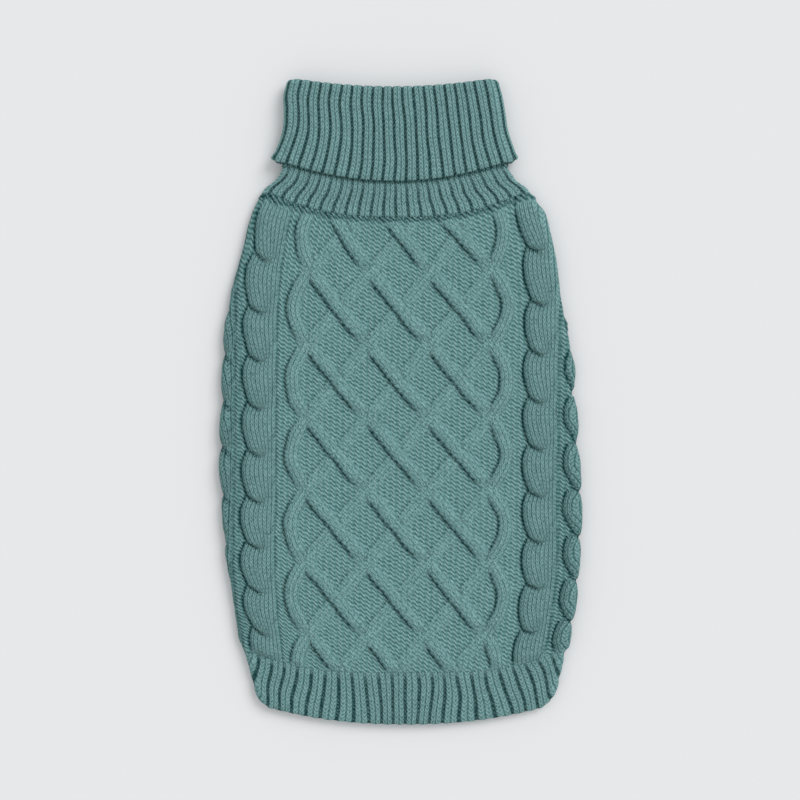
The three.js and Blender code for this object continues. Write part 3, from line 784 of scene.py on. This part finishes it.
def acrylic_knit():
    """Soft-spun acrylic and wool yarn, matte and slightly fuzzy, knitted with 4.4 mm stitches.

    Knit stitches are pairs of slanted legs, and purls are lines that slant down to the right and
    thin out once a stitch. Both are a height in the surface and painted shade that darkens the gaps
    between the yarns. The strand attribute holds wale, course and kind, and ground holds the
    ground's wale, its course and deep, the painted shade of grooves and other shaded places.
    """
    material = bpy.data.materials.new("soft_spun_acrylic_knit")
    material.use_nodes = True
    tree = material.node_tree
    tree.nodes.clear()
    math_node = "ShaderNodeMath"
    strand = add(tree, "ShaderNodeAttribute", attribute_name="strand")
    ground = add(tree, "ShaderNodeAttribute", attribute_name="ground")
    strand_xyz = add(tree, "ShaderNodeSeparateXYZ", {0: (strand, "Vector")})
    ground_xyz = add(tree, "ShaderNodeSeparateXYZ", {0: (ground, "Vector")})
    wale, course, kind = (strand_xyz, 0), (strand_xyz, 1), (strand_xyz, 2)
    ground_wale, painted_shade = (ground_xyz, 0), (ground_xyz, 2)
    place = (add(tree, "ShaderNodeTexCoord"), "Object")

    # Knit: t is 0 in the middle of a stitch and 1 at its edges, and the legs rise towards them.
    part = add(tree, math_node, {0: wale}, operation="FRACT")
    centred = add(tree, math_node, {0: part, 1: 0.5}, operation="SUBTRACT")
    reach = add(tree, math_node, {0: centred}, operation="ABSOLUTE")
    t = add(tree, math_node, {0: reach, 1: 2.0}, operation="MULTIPLY")
    lean = add(tree, math_node, {0: t, 1: 0.9}, operation="MULTIPLY")
    leaned = add(tree, math_node, {0: course, 1: lean}, operation="SUBTRACT")
    phase = add(tree, math_node, {0: leaned}, operation="FRACT")
    turn = add(tree, math_node, {0: phase, 1: math.pi}, operation="MULTIPLY")
    bead = add(tree, math_node, {0: turn}, operation="SINE")
    bead_up = add(tree, math_node, {0: bead, 1: 0.6, 2: 0.4}, operation="MULTIPLY_ADD")
    heart = add(tree, "ShaderNodeMapRange", {0: t, 1: 0.0, 2: 0.35, 3: 0.7, 4: 1.0})
    sides = add(tree, "ShaderNodeMapRange", {0: t, 1: 0.65, 2: 1.0, 3: 1.0, 4: 0.1})
    leg = add(tree, math_node, {0: heart, 1: sides}, operation="MULTIPLY")
    knit = add(tree, math_node, {0: leg, 1: bead_up}, operation="MULTIPLY")

    # Purl: lines that fall to the right by 0.8 of a course a stitch, each stitch a shallow wave.
    around = add(tree, math_node, {0: ground_wale, 1: 2 * math.pi}, operation="MULTIPLY")
    wave = add(tree, math_node, {0: around}, operation="SINE")
    fall = add(tree, math_node, {0: ground_wale, 1: 0.8, 2: course}, operation="MULTIPLY_ADD")
    waved = add(tree, math_node, {0: wave, 1: 0.13, 2: fall}, operation="MULTIPLY_ADD")
    line_part = add(tree, math_node, {0: waved}, operation="FRACT")
    line_turn = add(tree, math_node, {0: line_part, 1: math.pi}, operation="MULTIPLY")
    line = add(tree, math_node, {0: line_turn}, operation="SINE")
    crest = add(tree, math_node, {0: around}, operation="COSINE")
    broken = add(tree, math_node, {0: crest, 1: 0.26, 2: 0.74}, operation="MULTIPLY_ADD")
    purl = add(tree, math_node, {0: line, 1: broken}, operation="MULTIPLY")
    stitches = {"Factor": kind, "A": purl, "B": knit}
    stitch = add(tree, "ShaderNodeMix", stitches, data_type="FLOAT")

    # Single fibres are too fine to show, so tufts 1.6 mm across stand for them. The heathering
    # changes over about a stitch.
    tufts = {"Vector": place, "Scale": 620.0, "Detail": 4.0}
    fibre = add(tree, "ShaderNodeTexNoise", tufts)
    patches = {"Vector": place, "Scale": 320.0, "Detail": 3.0}
    heather = add(tree, "ShaderNodeTexNoise", patches)
    fuzz = add(tree, math_node, {0: fibre, 1: 1.1}, operation="MULTIPLY")
    height = add(tree, math_node, {0: stitch, 1: fuzz}, operation="ADD")

    # Painted shade: the gaps between the yarns are painted darker than their backs, and the grooves
    # darkest.
    backs = add(tree, math_node, {0: fibre, 1: 1.4, 2: -0.7}, operation="MULTIPLY_ADD")
    shown = add(tree, math_node, {0: stitch, 1: backs}, operation="ADD", use_clamp=True)
    tone = add(tree, "ShaderNodeValToRGB", {0: shown})
    tone.color_ramp.elements[0].color = linear("#457676")
    tone.color_ramp.elements[1].color = linear("#8AB2B2")
    tone.color_ramp.elements[1].position = 0.88
    mottle = add(tree, "ShaderNodeMapRange", {0: heather, 1: 0.3, 2: 0.7, 3: 0.9, 4: 1.08})
    layers = {"Factor": 1.0, 6: tone, 7: mottle}
    heathered = add(tree, "ShaderNodeMix", layers, data_type="RGBA", blend_type="MULTIPLY")
    # ragged makes the painted shade stronger in the gaps than on the yarns' backs, and the painted
    # shade mixes the colour towards a dark teal.
    ragged = add(tree, math_node, {0: shown, 1: -0.9, 2: 1.4}, operation="MULTIPLY_ADD")
    depth = add(tree, math_node, {0: painted_shade, 1: ragged}, operation="MULTIPLY", use_clamp=True)
    grooved = {0: depth, 6: (heathered, 2), 7: linear("#003D3E")}
    shade = add(tree, "ShaderNodeMix", grooved, data_type="RGBA")

    bump = add(tree, "ShaderNodeBump", {"Height": height, "Distance": 0.0011, "Strength": 1.0})
    finish = {
        "Base Color": (shade, 2),
        "Roughness": 0.92,
        "Normal": bump,
        "Specular IOR Level": 0.12,
        "Sheen Weight": 0.2,
        "Sheen Roughness": 0.5,
        "Sheen Tint": linear("#86B9B6"),
    }
    surface = add(tree, "ShaderNodeBsdfPrincipled", finish)
    add(tree, "ShaderNodeOutputMaterial", {"Surface": surface})
    return material


def pale_board():
    """A matte pale grey board that the sweater lies on."""
    material = bpy.data.materials.new("matte_pale_board")
    material.use_nodes = True
    surface = material.node_tree.nodes["Principled BSDF"]
    surface.inputs["Base Color"].default_value = linear("#E8E9EB")
    surface.inputs["Roughness"].default_value = 1.0
    surface.inputs["Specular IOR Level"].default_value = 0.0
    return material


def make_floor(material):
    """A square board round the origin, just below the sweater."""
    corners = ((-1, -1), (1, -1), (1, 1), (-1, 1))
    mesh = bpy.data.meshes.new("floor")
    points = [(FLOOR_HALF * x, FLOOR_HALF * y, FLOOR_TOP) for x, y in corners]
    mesh.from_pydata(points, [], [(0, 1, 2, 3)])
    mesh.materials.append(material)
    board = bpy.data.objects.new("floor", mesh)
    bpy.context.scene.collection.objects.link(board)
    return board


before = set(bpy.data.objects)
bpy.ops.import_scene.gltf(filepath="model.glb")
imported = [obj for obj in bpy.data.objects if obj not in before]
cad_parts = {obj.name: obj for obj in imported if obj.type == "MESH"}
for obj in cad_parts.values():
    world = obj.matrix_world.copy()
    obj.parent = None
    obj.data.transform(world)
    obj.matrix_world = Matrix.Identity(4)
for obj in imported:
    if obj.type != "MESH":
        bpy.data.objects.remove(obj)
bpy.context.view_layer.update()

yarn = acrylic_knit()
back = make_back(yarn)
belly = make_belly(yarn)
hem = make_hem(yarn)
collar = make_collar(yarn)

nodes = {"back_panel": back, "belly_panel": belly, "hem_band": hem, "collar": collar}
for node, piece in nodes.items():
    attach(piece, "root")
    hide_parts(node)

floor = make_floor(pale_board())

# Soft daylight from all round, with a broad light from the upper right.
world = bpy.data.worlds.new("studio")
world.use_nodes = True
world.node_tree.nodes["Background"].inputs[0].default_value = (1, 1, 1, 1)
world.node_tree.nodes["Background"].inputs[1].default_value = 0.72
bpy.context.scene.world = world
lamp = bpy.data.lights.new("broad_window", "SUN")
lamp.energy = 1.3
lamp.angle = math.radians(34)
lamp_object = bpy.data.objects.new("broad_window", lamp)
lamp_object.rotation_euler = (math.radians(-30), math.radians(40), 0)
bpy.context.scene.collection.objects.link(lamp_object)
bpy.context.scene.view_settings.view_transform = "Standard"

# The picture is taken straight from above: 0.73 mm of the sweater to one of its 800 points.
camera_data = bpy.data.cameras.new("overhead")
camera_data.lens = LENS
camera = bpy.data.objects.new("overhead", camera_data)
camera.location = (
    TO_MIDDLE[0] / MM_PER_M,
    (TO_MIDDLE[1] + PICTURE_MIDDLE) / MM_PER_M,
    PICTURE_WIDTH * LENS / SENSOR + KNIT_LEVEL,
)
bpy.context.scene.collection.objects.link(camera)
bpy.context.scene.camera = camera
